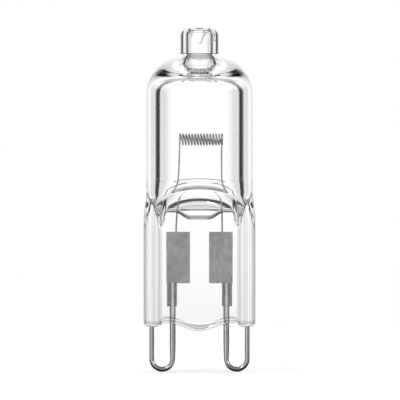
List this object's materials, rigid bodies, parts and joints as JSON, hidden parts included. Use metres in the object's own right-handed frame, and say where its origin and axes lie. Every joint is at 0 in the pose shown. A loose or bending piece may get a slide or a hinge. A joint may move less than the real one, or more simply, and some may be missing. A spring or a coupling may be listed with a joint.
{
  "type": "halogen capsule bulb",
  "caption": "Clear quartz capsule lamp with a coiled filament, a flat press seal and wire contact loops that push into a lamp holder.",
  "frame": {"origin": "on the lamp's axis at the seating plane, level with the feet of the press seal's side rails", "axes": "+Z along the lamp towards the exhaust tip, X across the width of the press seal, Y through its thickness; the foils lie on the -Y side, which the picture shows"},
  "size_m": [0.0136, 0.013, 0.0415],
  "materials": {
    "quartz": "clear polished quartz",
    "tungsten": "drawn tungsten wire",
    "molybdenum_foil": "etched foil, satin",
    "weld_strip": "satin strip",
    "contact_wire": "drawn nickel-coloured wire"
  },
  "bodies": {
    "root": {"quartz_envelope": "quartz", "filament": "tungsten", "foil_left": "molybdenum_foil", "foil_right": "molybdenum_foil", "weld_strip_left": "weld_strip", "weld_strip_right": "weld_strip", "contact_loop_left": "contact_wire", "contact_loop_right": "contact_wire"}
  },
  "joints": []
}
